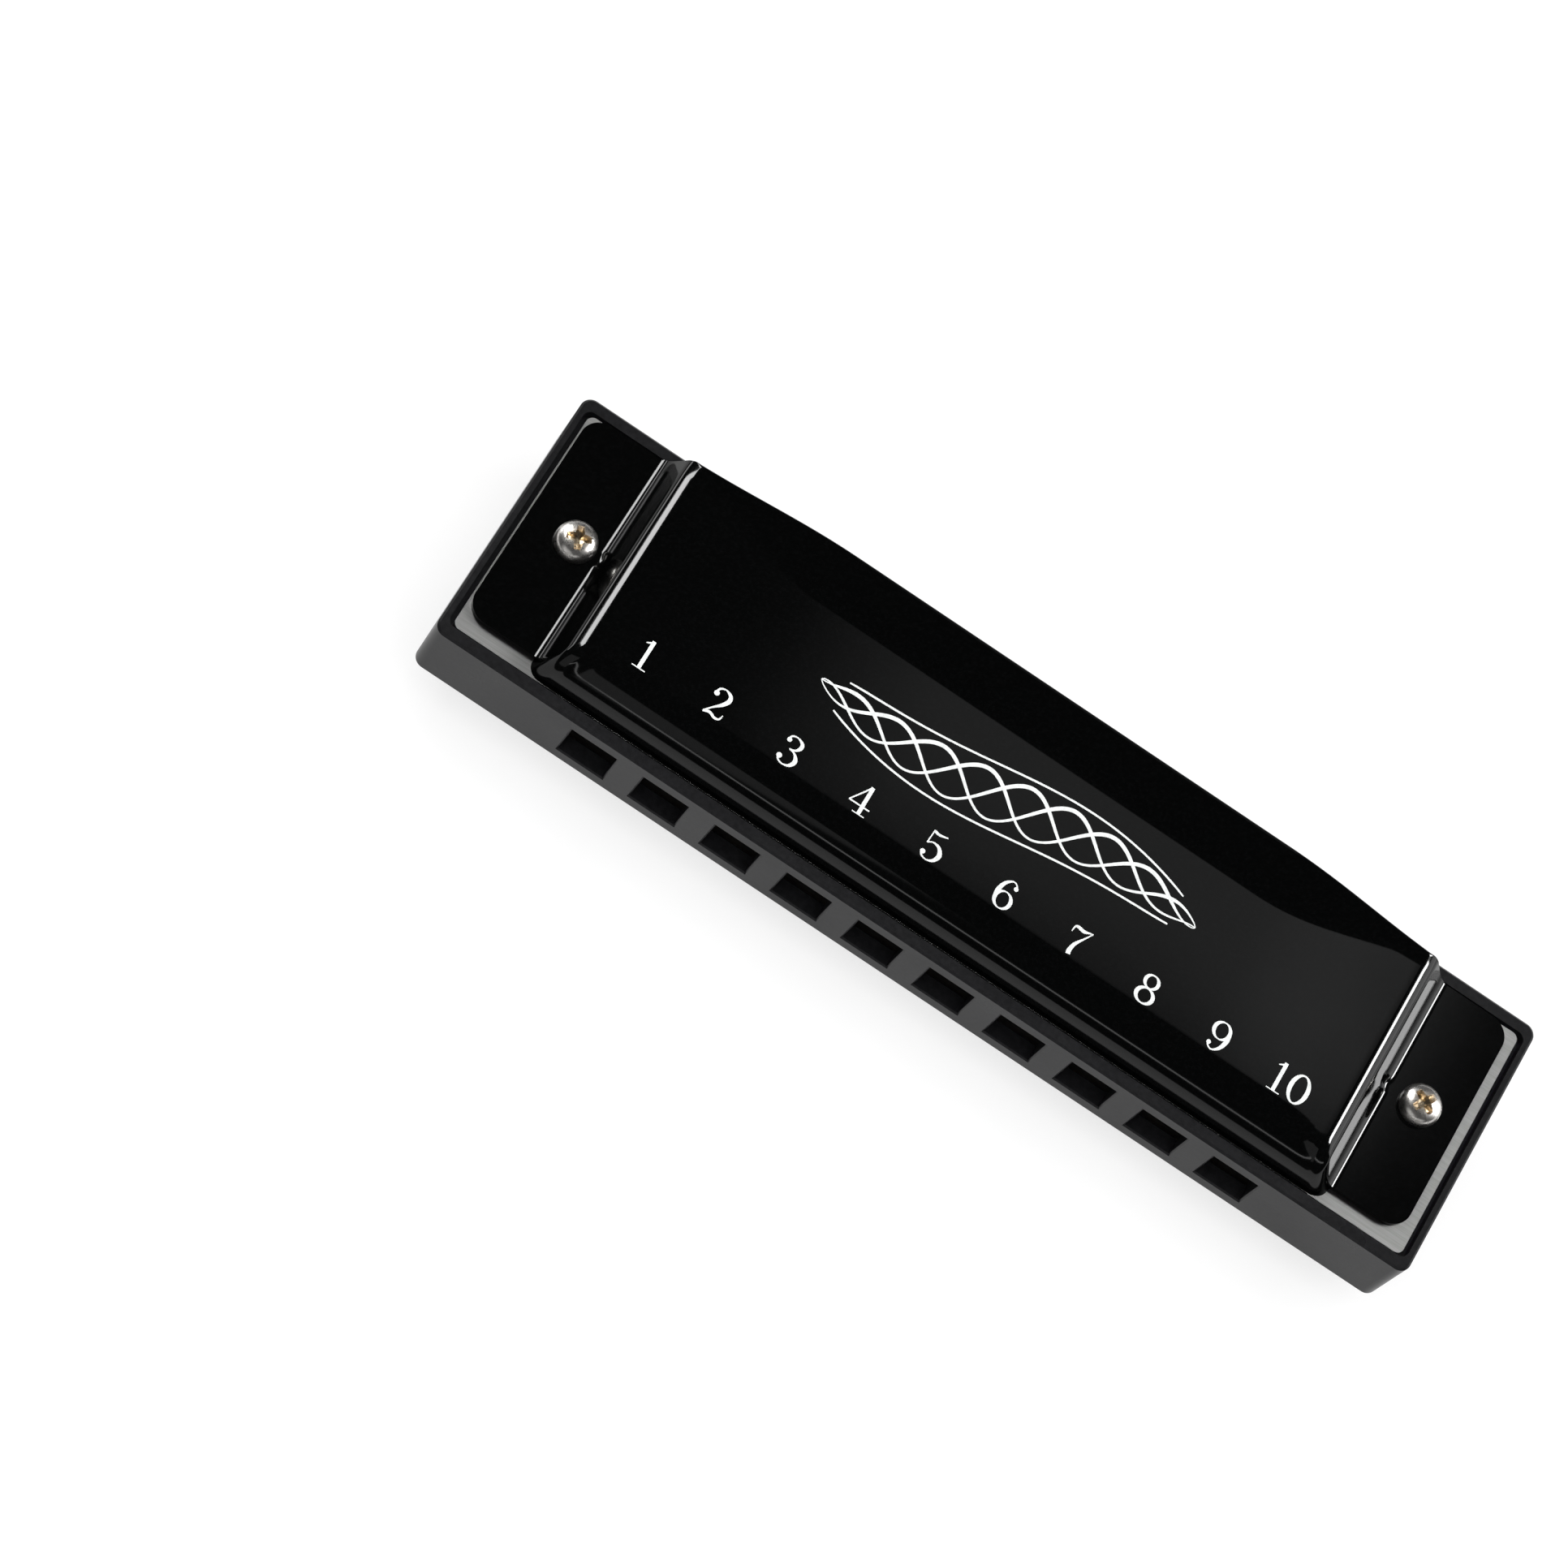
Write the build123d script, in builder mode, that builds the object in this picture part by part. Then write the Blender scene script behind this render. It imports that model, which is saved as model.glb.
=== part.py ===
"""Ten-hole diatonic harmonica, modelled as the separate pieces it comes apart into.

Frame: origin under the middle of the instrument, +X from hole 1 to hole 10,
+Y from the mouthpiece to the open back, +Z up. All lengths are in millimetres.
"""

import os
from math import atan, cos, hypot, pi, tan

from build123d import *

os.makedirs("parts", exist_ok=True)

# Instrument layout
HOLES = 10
PITCH = 7.5                 # hole to hole, set by the lips and tongue
MID_Z = 10.0                # mid-plane of the comb; the two covers mirror about it

# Comb
COMB_LENGTH = 102.0
COMB_DEPTH = 27.2
COMB_HEIGHT = 8.4
COMB_CORNER_R = 1.1
RIM_END = 0.7               # raised rim at the two ends
RIM_SIDE = 1.2              # raised rim at the mouthpiece and at the back
RECESS_CORNER_R = 0.8
RIM_EASE = 0.2              # broken edge round both rims
HOLE_WIDTH = 4.7
HOLE_HEIGHT = 5.06
HOLE_EASE = 0.15            # broken edge round each mouth hole
CHAMBER_WIDTH = 5.0
MOUTH_WALL = 1.7            # front wall the mouth holes pass through

# Reed plates
PLATE_THICK = 0.9
PLATE_SUNK = 0.3            # plate face below the rim
PLATE_LENGTH = 99.6
PLATE_DEPTH = 24.4
PLATE_CORNER_R = 0.7

# Reeds: long and wide at hole 1, short and narrow at hole 10
REED_THICK = 0.25
REED_WIDTH_LOW = 2.2
REED_WIDTH_HIGH = 1.9
BLOW_REED_LOW = 16.0
BLOW_REED_HIGH = 9.5
DRAW_REED_LOW = 15.6
DRAW_REED_HIGH = 9.3
BLOW_TIP_Y = -10.2          # free tips of the blow reeds, nearest the mouth
DRAW_ROOT_Y = -7.9          # clamp line of the draw reeds
SLOT_SIDE_GAP = 0.06
SLOT_TIP_GAP = 0.10
SLOT_ROOT_GAP = 0.12
ROOT_SPLIT = 0.05           # half the gap between a reed and its clamped end
ROOT_WIDTH = 3.0
ROOT_LENGTH = 3.2
CHAMBER_SPARE = 0.4         # chamber length left behind the blow reed's clamped end

# Rivets
RIVET_R = 0.60
RIVET_HOLE_R = 0.62
RIVET_HEAD_R = 1.0
REED_SIDE_HEAD = 0.35
PLATE_SIDE_HEAD = 0.30

# Reed-plate screws
PLATE_SCREW_R = 0.60
PLATE_SCREW_HOLE_R = 0.62
PLATE_SCREW_HEAD_R = 1.3
PLATE_SCREW_HEAD = 0.7
PLATE_SCREW_CROSS = 1.4
PLATE_SCREW_DEPTH = 2.4
PILOT_DEPTH = 2.6
PLATE_SCREW_END_X = 38.4
PLATE_SCREW_SIDE_Y = 9.6
PLATE_SCREW_BACK_Y = 10.3

# Cover plates
COVER_SHIFT = -0.45         # both covers sit this far towards hole 1 in their bolt holes
SHEET = 0.6
FLANGE_END_X = 49.2
FLANGE_FRONT_Y = -10.6
FLANGE_BACK_Y = 12.1
FLANGE_CORNER_R = 2.0
BODY_END_X = 41.8           # foot of the raised body's end walls
END_WALL_RUN = 2.2
BODY_FOOT_Y = -12.1
FRONT_WALL_RUN = 1.5
BODY_BACK_Y = 12.2
TOP_RISE = 4.0              # level part of the cover above the reed plate
CROWN_RISE = 2.1            # extra height of the back edge in the middle
CROWN_FRONT_Y = 6.4         # where the crown starts to lift
CROWN_FOLD_Y = 8.0          # its tangents meet here: a soft fold, then nearly flat to the back
CROWN_HALF = 23.0           # half-length of the full-height crown
BACK_LIP = 0.6              # down-turned edge at the open back
FRONT_BEND_R = 2.6          # the front wall rolls over into the level top
END_BEND_R = 0.8            # end walls into the top and round the front corners
BEND_R = 0.3
DENT_R = 3.35               # driver clearance pressed into each end wall

# Cover bolts and nuts
BOLT_X = 44.75
BOLT_Y = 0.6
BOLT_R = 1.0
BOLT_HOLE_R = 1.1
COVER_HOLE_R = 1.5
BOLT_HEAD_R = 2.0
BOLT_HEAD = 1.5
BOLT_HEAD_ROUND = 0.75
BOLT_TIP = 0.35             # thread showing past the nut
CROSS_LENGTH = 2.3
CROSS_WIDTH = 0.55
CROSS_DEPTH = 0.9
NUT_FLATS = 4.0
NUT_THICK = 1.6

# Levels that follow from the above
COMB_BASE = MID_Z - COMB_HEIGHT / 2
COMB_TOP = MID_Z + COMB_HEIGHT / 2
PLATE_TOP = COMB_TOP - PLATE_SUNK
SEAT_TOP = PLATE_TOP - PLATE_THICK
SEAT_DEPTH = COMB_TOP - SEAT_TOP
SEAT_BASE = COMB_BASE + SEAT_DEPTH
PLATE_BASE = COMB_BASE + PLATE_SUNK
CORE_HEIGHT = SEAT_TOP - SEAT_BASE
FLANGE_TOP = PLATE_TOP + SHEET
COVER_LEVEL = PLATE_TOP + TOP_RISE
CHAMBER_FRONT_Y = -COMB_DEPTH / 2 + MOUTH_WALL
FAR = 60.0                  # long enough to cut right through

HOLE_X = [(n - (HOLES - 1) / 2) * PITCH for n in range(HOLES)]
BOLT_SPOTS = [(-BOLT_X, BOLT_Y), (BOLT_X, BOLT_Y)]
PLATE_SCREW_SPOTS = [
    (-PLATE_SCREW_END_X, -PLATE_SCREW_SIDE_Y),
    (PLATE_SCREW_END_X, -PLATE_SCREW_SIDE_Y),
    (-PLATE_SCREW_END_X, PLATE_SCREW_SIDE_Y),
    (PLATE_SCREW_END_X, PLATE_SCREW_SIDE_Y),
    (0, PLATE_SCREW_BACK_Y),
]


def graded(low, high, n):
    """Value for hole n when it changes evenly from hole 1 to hole 10."""
    return low + (high - low) * n / (HOLES - 1)


REED_WIDTH = [graded(REED_WIDTH_LOW, REED_WIDTH_HIGH, n) for n in range(HOLES)]
BLOW_REED = [graded(BLOW_REED_LOW, BLOW_REED_HIGH, n) for n in range(HOLES)]
DRAW_REED = [graded(DRAW_REED_LOW, DRAW_REED_HIGH, n) for n in range(HOLES)]
BLOW_ROOT_Y = [BLOW_TIP_Y + BLOW_REED[n] for n in range(HOLES)]
DRAW_TIP_Y = [DRAW_ROOT_Y + DRAW_REED[n] for n in range(HOLES)]
CHAMBER_BACK_Y = [BLOW_ROOT_Y[n] + ROOT_LENGTH + CHAMBER_SPARE for n in range(HOLES)]
BLOW_RIVET_SPOTS = [(HOLE_X[n], BLOW_ROOT_Y[n] + ROOT_LENGTH / 2) for n in range(HOLES)]
DRAW_RIVET_SPOTS = [(HOLE_X[n], DRAW_ROOT_Y - ROOT_LENGTH / 2) for n in range(HOLES)]


def strip(x, y_low, y_high, width):
    """Rectangle on the current sketch plane between two distances from the mouth."""
    with Locations((x, (y_low + y_high) / 2)):
        Rectangle(width, y_high - y_low)


def save(part, node):
    """Label one finished piece and write its file."""
    part.label = node
    export_step(part, "parts/" + node + ".step")


# Comb: moulded body with a mouth hole and a chamber for every hole
with BuildPart() as comb:
    with BuildSketch(Plane.XY.offset(COMB_BASE)):
        RectangleRounded(COMB_LENGTH, COMB_DEPTH, COMB_CORNER_R)
    extrude(amount=COMB_HEIGHT)
    rims = comb.faces().sort_by(Axis.Z)
    chamfer(rims[0].edges() + rims[-1].edges(), length=RIM_EASE)
    for level in (COMB_BASE, SEAT_TOP):
        with BuildSketch(Plane.XY.offset(level)):
            RectangleRounded(COMB_LENGTH - 2 * RIM_END, COMB_DEPTH - 2 * RIM_SIDE, RECESS_CORNER_R)
        extrude(amount=SEAT_DEPTH, mode=Mode.SUBTRACT)
    with BuildSketch(Plane.XY.offset(SEAT_BASE)):
        for n in range(HOLES):
            strip(HOLE_X[n], CHAMBER_FRONT_Y, CHAMBER_BACK_Y[n], CHAMBER_WIDTH)
    extrude(amount=CORE_HEIGHT, mode=Mode.SUBTRACT)
    with BuildSketch(Plane.XZ.offset(COMB_DEPTH / 2)):
        with Locations([(x, MID_Z) for x in HOLE_X]):
            Rectangle(HOLE_WIDTH, HOLE_HEIGHT)
    extrude(amount=-(MOUTH_WALL + CHAMBER_WIDTH), mode=Mode.SUBTRACT)
    mouth_face = comb.faces().sort_by(Axis.Y)[0]
    chamfer([e for w in mouth_face.inner_wires() for e in w.edges()], length=HOLE_EASE)
    with Locations([(x, y, MID_Z) for x, y in BOLT_SPOTS]):
        Cylinder(BOLT_HOLE_R, FAR, mode=Mode.SUBTRACT)
    for level in (SEAT_TOP - PILOT_DEPTH / 2, SEAT_BASE + PILOT_DEPTH / 2):
        with Locations([(x, y, level) for x, y in PLATE_SCREW_SPOTS]):
            Cylinder(PLATE_SCREW_HOLE_R, PILOT_DEPTH, mode=Mode.SUBTRACT)


def reed_plate(level, slots, rivets):
    """Slotted brass plate with its rivet, screw and bolt holes."""
    with BuildPart() as plate:
        with BuildSketch(Plane.XY.offset(level)):
            RectangleRounded(PLATE_LENGTH, PLATE_DEPTH, PLATE_CORNER_R)
            for n in range(HOLES):
                with Locations((HOLE_X[n], (slots[n][0] + slots[n][1]) / 2)):
                    slot_width = REED_WIDTH[n] + 2 * SLOT_SIDE_GAP
                    Rectangle(slot_width, slots[n][1] - slots[n][0], mode=Mode.SUBTRACT)
            with Locations(rivets):
                Circle(RIVET_HOLE_R, mode=Mode.SUBTRACT)
            with Locations(PLATE_SCREW_SPOTS):
                Circle(PLATE_SCREW_HOLE_R, mode=Mode.SUBTRACT)
            with Locations(BOLT_SPOTS):
                Circle(BOLT_HOLE_R, mode=Mode.SUBTRACT)
        extrude(amount=PLATE_THICK)
    return plate.part


BLOW_SLOTS = [(BLOW_TIP_Y - SLOT_TIP_GAP, y + SLOT_ROOT_GAP) for y in BLOW_ROOT_Y]
DRAW_SLOTS = [(DRAW_ROOT_Y - SLOT_ROOT_GAP, y + SLOT_TIP_GAP) for y in DRAW_TIP_Y]

with BuildPart() as blow_reed_plate:
    add(reed_plate(SEAT_TOP, BLOW_SLOTS, BLOW_RIVET_SPOTS))

with BuildPart() as draw_reed_plate:
    add(reed_plate(PLATE_BASE, DRAW_SLOTS, DRAW_RIVET_SPOTS))


def reed(x, y_low, y_high, width, level):
    """One vibrating tongue, lying on its plate over the slot."""
    with BuildPart() as tongue:
        with BuildSketch(Plane.XY.offset(level)):
            strip(x, y_low, y_high, width)
        extrude(amount=REED_THICK)
    return tongue.part


def reed_roots(spots, level):
    """The clamped ends of ten reeds, one separate pad for each rivet."""
    with BuildPart() as roots:
        with BuildSketch(Plane.XY.offset(level)):
            with Locations(spots):
                Rectangle(ROOT_WIDTH, ROOT_LENGTH - 2 * ROOT_SPLIT)
                Circle(RIVET_HOLE_R, mode=Mode.SUBTRACT)
        extrude(amount=REED_THICK)
    return roots.part


def rivets(spots, reed_face, plate_face):
    """Ten rivets, each clamping a reed to its plate between two formed heads."""
    side = 1 if plate_face > reed_face else -1
    with BuildPart() as group:
        with BuildSketch(Plane.XY.offset(reed_face)):
            with Locations(spots):
                Circle(RIVET_R)
        extrude(amount=plate_face - reed_face)
        with BuildSketch(Plane.XY.offset(reed_face)):
            with Locations(spots):
                Circle(RIVET_HEAD_R)
        extrude(amount=-side * REED_SIDE_HEAD)
        with BuildSketch(Plane.XY.offset(plate_face)):
            with Locations(spots):
                Circle(RIVET_HEAD_R)
        extrude(amount=side * PLATE_SIDE_HEAD)
    return group.part


BLOW_REED_BASE = SEAT_TOP - REED_THICK
DRAW_REED_BASE = PLATE_BASE - REED_THICK

with BuildPart() as blow_reed_roots:
    add(reed_roots(BLOW_RIVET_SPOTS, BLOW_REED_BASE))

with BuildPart() as draw_reed_roots:
    add(reed_roots(DRAW_RIVET_SPOTS, DRAW_REED_BASE))

with BuildPart() as blow_rivets:
    add(rivets(BLOW_RIVET_SPOTS, BLOW_REED_BASE, PLATE_TOP))

with BuildPart() as draw_rivets:
    add(rivets(DRAW_RIVET_SPOTS, DRAW_REED_BASE, SEAT_BASE))


def cross(spots, length, width):
    """Driver cross at each spot on the current sketch plane."""
    with Locations(spots):
        Rectangle(length, width)
        Rectangle(width, length)


# Reed-plate screws, upper group; the lower group is its mirror image
with BuildPart() as upper_plate_screws:
    with BuildSketch(Plane.XY.offset(PLATE_TOP)):
        with Locations(PLATE_SCREW_SPOTS):
            Circle(PLATE_SCREW_HEAD_R)
    extrude(amount=PLATE_SCREW_HEAD)
    with BuildSketch(Plane.XY.offset(PLATE_TOP)):
        with Locations(PLATE_SCREW_SPOTS):
            Circle(PLATE_SCREW_R)
    extrude(amount=-(PLATE_THICK + PLATE_SCREW_DEPTH))
    head_edges = upper_plate_screws.edges().group_by(Axis.Z)[-1]
    chamfer(head_edges, length=PLATE_SCREW_HEAD / 3)
    with BuildSketch(Plane.XY.offset(PLATE_TOP + PLATE_SCREW_HEAD)):
        cross(PLATE_SCREW_SPOTS, PLATE_SCREW_CROSS, PLATE_SCREW_CROSS / 4)
    extrude(amount=-PLATE_SCREW_HEAD / 2, mode=Mode.SUBTRACT)

with BuildPart() as lower_plate_screws:
    add(mirror(upper_plate_screws.part, about=Plane.XY.offset(MID_Z)))


def crown(x):
    """Lift of the back edge at one station: full in the middle, none at the ends."""
    past = max(0.0, abs(x) - CROWN_HALF) / (BODY_END_X - CROWN_HALF)
    return CROWN_RISE * (1 + cos(pi * min(1.0, past))) / 2


def side_profile(x, drop, inset):
    """Side view of the raised body at one station, lowered and thinned for the inside."""
    top = COVER_LEVEL - drop
    lean = FRONT_WALL_RUN / TOP_RISE
    foot_y = BODY_FOOT_Y + inset * hypot(1, lean)
    base = PLATE_TOP - inset
    corner_y = foot_y + lean * (top - PLATE_TOP)
    reach = (FRONT_BEND_R - inset) * tan((pi / 2 - atan(lean)) / 2)
    high = top + crown(x)
    past_y = BODY_BACK_Y + 2 * SHEET
    wall_end = (corner_y - reach * lean / hypot(1, lean), top - reach / hypot(1, lean))
    with BuildSketch(Plane.YZ.offset(x)) as profile:
        with BuildLine():
            Polyline((past_y, base), (foot_y - lean * inset, base), wall_end)
            TangentArc(wall_end, (corner_y + reach, top), tangent=(lean, 1))
            Line((corner_y + reach, top), (CROWN_FRONT_Y, top))
            Bezier(
                (CROWN_FRONT_Y, top),
                (CROWN_FOLD_Y, top),
                (BODY_BACK_Y, high),
            )
            Polyline((BODY_BACK_Y, high), (past_y, high), (past_y, base))
        make_face()
    return profile.sketch


STATIONS = [CROWN_HALF + (BODY_END_X + 2 - CROWN_HALF) * k / 6 for k in range(7)]


def raised_body(drop, inset, back_y):
    """Solid bounded by the raised body's walls, or by its inside when thinned."""
    end_x = BODY_END_X - inset * hypot(1, END_WALL_RUN / TOP_RISE)
    lean = END_WALL_RUN / TOP_RISE
    high = TOP_RISE + CROWN_RISE
    with BuildPart() as body:
        extrude(side_profile(-CROWN_HALF, drop, inset), amount=2 * CROWN_HALF, dir=(1, 0, 0))
        loft([side_profile(x, drop, inset) for x in STATIONS])
        loft([side_profile(-x, drop, inset) for x in STATIONS])
        with BuildSketch(Plane.XZ.offset(-back_y)):
            Polygon(
                (-end_x - lean * inset, PLATE_TOP - inset),
                (end_x + lean * inset, PLATE_TOP - inset),
                (end_x - lean * high, PLATE_TOP + high),
                (-end_x + lean * high, PLATE_TOP + high),
                align=None,
            )
        extrude(amount=FAR, mode=Mode.INTERSECT)
    return body.part


def cover_plate():
    """Pressed sheet cover: end flanges, sloped walls, crowned back with a down-turned lip."""
    dents = [(x, y, PLATE_TOP) for x, y in BOLT_SPOTS]
    with BuildPart() as cavity:
        add(raised_body(SHEET, SHEET, BODY_BACK_Y - SHEET))
        with Locations(dents):
            Cylinder(DENT_R + SHEET, FAR, mode=Mode.SUBTRACT)
    with BuildPart() as back_opening:
        add(raised_body(SHEET + BACK_LIP, SHEET, BODY_BACK_Y + SHEET))
        with Locations(dents):
            Cylinder(DENT_R + SHEET, FAR, mode=Mode.SUBTRACT)
    with BuildPart() as cover:
        add(raised_body(0, 0, BODY_BACK_Y))
        ends = cover.faces().filter_by(lambda f: abs(f.normal_at().X) > FRONT_WALL_RUN / TOP_RISE)
        rims = [e for f in ends for e in f.edges() if e.center().Y < BODY_BACK_Y - RIM_EASE]
        fillet([e for e in rims if e.center().Z > PLATE_TOP + RIM_EASE], radius=END_BEND_R)
        with BuildSketch(Plane.XY.offset(PLATE_TOP)):
            with Locations((0, (FLANGE_FRONT_Y + FLANGE_BACK_Y) / 2)):
                RectangleRounded(2 * FLANGE_END_X, FLANGE_BACK_Y - FLANGE_FRONT_Y, FLANGE_CORNER_R)
        extrude(amount=SHEET)
        base_lines = cover.edges().filter_by_position(Axis.Z, FLANGE_TOP - RIM_EASE, FLANGE_TOP)
        base_lines = base_lines.filter_by(Axis.Y)
        fillet([e for e in base_lines if abs(e.center().X) < BODY_END_X], radius=BEND_R)
        with Locations(dents):
            Cylinder(DENT_R, 2 * (TOP_RISE + SHEET), mode=Mode.SUBTRACT)
            Cylinder(DENT_R, SHEET, align=(Align.CENTER, Align.CENTER, Align.MIN))
        add(cavity.part, mode=Mode.SUBTRACT)
        add(back_opening.part, mode=Mode.SUBTRACT)
        with Locations(dents):
            Cylinder(COVER_HOLE_R, FAR, mode=Mode.SUBTRACT)
    return cover.part


with BuildPart() as top_cover:
    with Locations((COVER_SHIFT, 0, 0)):
        add(cover_plate())

with BuildPart() as bottom_cover:
    add(mirror(top_cover.part, about=Plane.XY.offset(MID_Z)))

# Cover bolts: two machine screws right through the instrument, heads on the top cover
BOLT_HEAD_BASE = FLANGE_TOP
NUT_TOP = 2 * MID_Z - FLANGE_TOP
NUT_BASE = NUT_TOP - NUT_THICK
BOLT_END = NUT_BASE - BOLT_TIP

with BuildPart() as cover_bolts:
    with BuildSketch(Plane.XY.offset(BOLT_HEAD_BASE)):
        with Locations(BOLT_SPOTS):
            Circle(BOLT_HEAD_R)
    extrude(amount=BOLT_HEAD)
    fillet(cover_bolts.edges().group_by(Axis.Z)[-1], radius=BOLT_HEAD_ROUND)
    with BuildSketch(Plane.XY.offset(BOLT_HEAD_BASE)):
        with Locations(BOLT_SPOTS):
            Circle(BOLT_R)
    extrude(amount=BOLT_END - BOLT_HEAD_BASE)
    with BuildSketch(Plane.XY.offset(BOLT_HEAD_BASE + BOLT_HEAD)):
        cross(BOLT_SPOTS, CROSS_LENGTH, CROSS_WIDTH)
    extrude(amount=-CROSS_DEPTH, mode=Mode.SUBTRACT)

with BuildPart() as cover_nuts:
    with BuildSketch(Plane.XY.offset(NUT_BASE)):
        with Locations(BOLT_SPOTS):
            RegularPolygon(NUT_FLATS / 2, 6, major_radius=False)
            Circle(BOLT_R, mode=Mode.SUBTRACT)
    extrude(amount=NUT_THICK)

# Files, one for each named piece
save(comb.part, "comb")
save(blow_reed_plate.part, "blow_reed_plate")
save(draw_reed_plate.part, "draw_reed_plate")
save(blow_reed_roots.part, "blow_reed_roots")
save(draw_reed_roots.part, "draw_reed_roots")
save(blow_rivets.part, "blow_rivets")
save(draw_rivets.part, "draw_rivets")
save(upper_plate_screws.part, "upper_plate_screws")
save(lower_plate_screws.part, "lower_plate_screws")
save(top_cover.part, "top_cover")
save(bottom_cover.part, "bottom_cover")
save(cover_bolts.part, "cover_bolts")
save(cover_nuts.part, "cover_nuts")

# The twenty reeds, each one a piece of its own
for n in range(HOLES):
    with BuildPart() as blow_reed:
        tail_y = BLOW_ROOT_Y[n] - ROOT_SPLIT
        add(reed(HOLE_X[n], BLOW_TIP_Y, tail_y, REED_WIDTH[n], BLOW_REED_BASE))
    save(blow_reed.part, f"blow_reed_{n + 1}")
    with BuildPart() as draw_reed:
        tail_y = DRAW_ROOT_Y + ROOT_SPLIT
        add(reed(HOLE_X[n], tail_y, DRAW_TIP_Y[n], REED_WIDTH[n], DRAW_REED_BASE))
    save(draw_reed.part, f"draw_reed_{n + 1}")
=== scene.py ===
"""Looks for the ten-hole harmonica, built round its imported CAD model.

Everything below is worked out in the model's own frame: +X from hole 1 to hole 10, +Y from the
mouthpiece to the open back, +Z up. Lengths are millimetres, turned into Blender's metres by MM,
except in the studio at the end, which is laid out in metres.
"""

import math

import bmesh
import bpy
import numpy as np
from mathutils import Matrix, Vector
from mathutils.geometry import delaunay_2d_cdt


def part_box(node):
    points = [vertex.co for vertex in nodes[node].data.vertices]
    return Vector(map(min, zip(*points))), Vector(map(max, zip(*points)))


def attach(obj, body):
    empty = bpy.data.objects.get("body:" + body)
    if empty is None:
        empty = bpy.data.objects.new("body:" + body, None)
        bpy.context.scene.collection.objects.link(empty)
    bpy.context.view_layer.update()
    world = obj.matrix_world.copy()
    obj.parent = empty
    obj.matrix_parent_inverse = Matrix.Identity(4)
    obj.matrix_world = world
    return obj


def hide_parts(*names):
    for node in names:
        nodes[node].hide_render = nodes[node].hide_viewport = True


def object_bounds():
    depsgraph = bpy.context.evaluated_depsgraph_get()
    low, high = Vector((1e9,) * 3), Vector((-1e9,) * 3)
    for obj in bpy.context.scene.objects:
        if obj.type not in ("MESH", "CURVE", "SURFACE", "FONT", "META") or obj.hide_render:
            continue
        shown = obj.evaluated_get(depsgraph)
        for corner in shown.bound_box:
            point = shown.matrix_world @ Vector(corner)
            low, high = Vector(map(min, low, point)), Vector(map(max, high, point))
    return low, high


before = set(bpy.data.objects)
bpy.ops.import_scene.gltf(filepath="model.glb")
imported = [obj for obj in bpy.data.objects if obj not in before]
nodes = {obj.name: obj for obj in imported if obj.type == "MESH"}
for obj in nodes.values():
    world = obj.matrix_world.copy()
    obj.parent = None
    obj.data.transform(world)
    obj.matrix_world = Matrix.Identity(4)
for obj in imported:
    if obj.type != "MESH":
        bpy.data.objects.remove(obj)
cad_low, cad_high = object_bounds()

MM = 0.001
BODY = "instrument"
HOLES = 10


def middle_x(node):
    """Middle of a CAD node along X."""
    low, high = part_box(node)
    return (low.x + high.x) / 2 / MM


# ---------------------------------------------------------------- materials

NUMBER_A, NUMBER_B, NUMBER_OUT = 2, 3, 0        # a mix node's sockets when it mixes numbers
COLOUR_A, COLOUR_B, COLOUR_OUT = 6, 7, 2        # and when it mixes colours
CLOUD_SHARE = 0.4                               # cloudy patches against brushed lines


def new_material(name):
    """Empty node material with its output and a principled shader."""
    mat = bpy.data.materials.new(name)
    mat.use_nodes = True
    tree = mat.node_tree
    tree.nodes.clear()
    out = tree.nodes.new("ShaderNodeOutputMaterial")
    shader = tree.nodes.new("ShaderNodeBsdfPrincipled")
    tree.links.new(shader.outputs["BSDF"], out.inputs["Surface"])
    return mat, tree, shader


def noise(tree, scale, detail, stretch=(1, 1, 1), rough=0.5):
    """Noise in the piece's own millimetres, stretched along the axes asked for."""
    coords = tree.nodes.new("ShaderNodeTexCoord")
    place = tree.nodes.new("ShaderNodeMapping")
    place.inputs["Scale"].default_value = [s / MM for s in stretch]
    tex = tree.nodes.new("ShaderNodeTexNoise")
    tex.inputs["Scale"].default_value = scale
    tex.inputs["Detail"].default_value = detail
    tex.inputs["Roughness"].default_value = rough
    tree.links.new(coords.outputs["Object"], place.inputs["Vector"])
    tree.links.new(place.outputs["Vector"], tex.inputs["Vector"])
    return tex.outputs["Fac"]


def ramp(tree, source, low, high, low_at=0.3, high_at=0.7):
    """Maps a grey source to a range of values or colours."""
    node = tree.nodes.new("ShaderNodeValToRGB")
    first, last = node.color_ramp.elements
    first.position, last.position = low_at, high_at
    first.color = low if hasattr(low, "__len__") else (low, low, low, 1)
    last.color = high if hasattr(high, "__len__") else (high, high, high, 1)
    tree.links.new(source, node.inputs["Fac"])
    return node.outputs["Color"]


def bump(tree, shader, source, depth, strength):
    """Surface relief of the given depth in millimetres."""
    node = tree.nodes.new("ShaderNodeBump")
    node.inputs["Strength"].default_value = strength
    node.inputs["Distance"].default_value = depth * MM
    tree.links.new(source, node.inputs["Height"])
    tree.links.new(node.outputs["Normal"], shader.inputs["Normal"])


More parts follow.
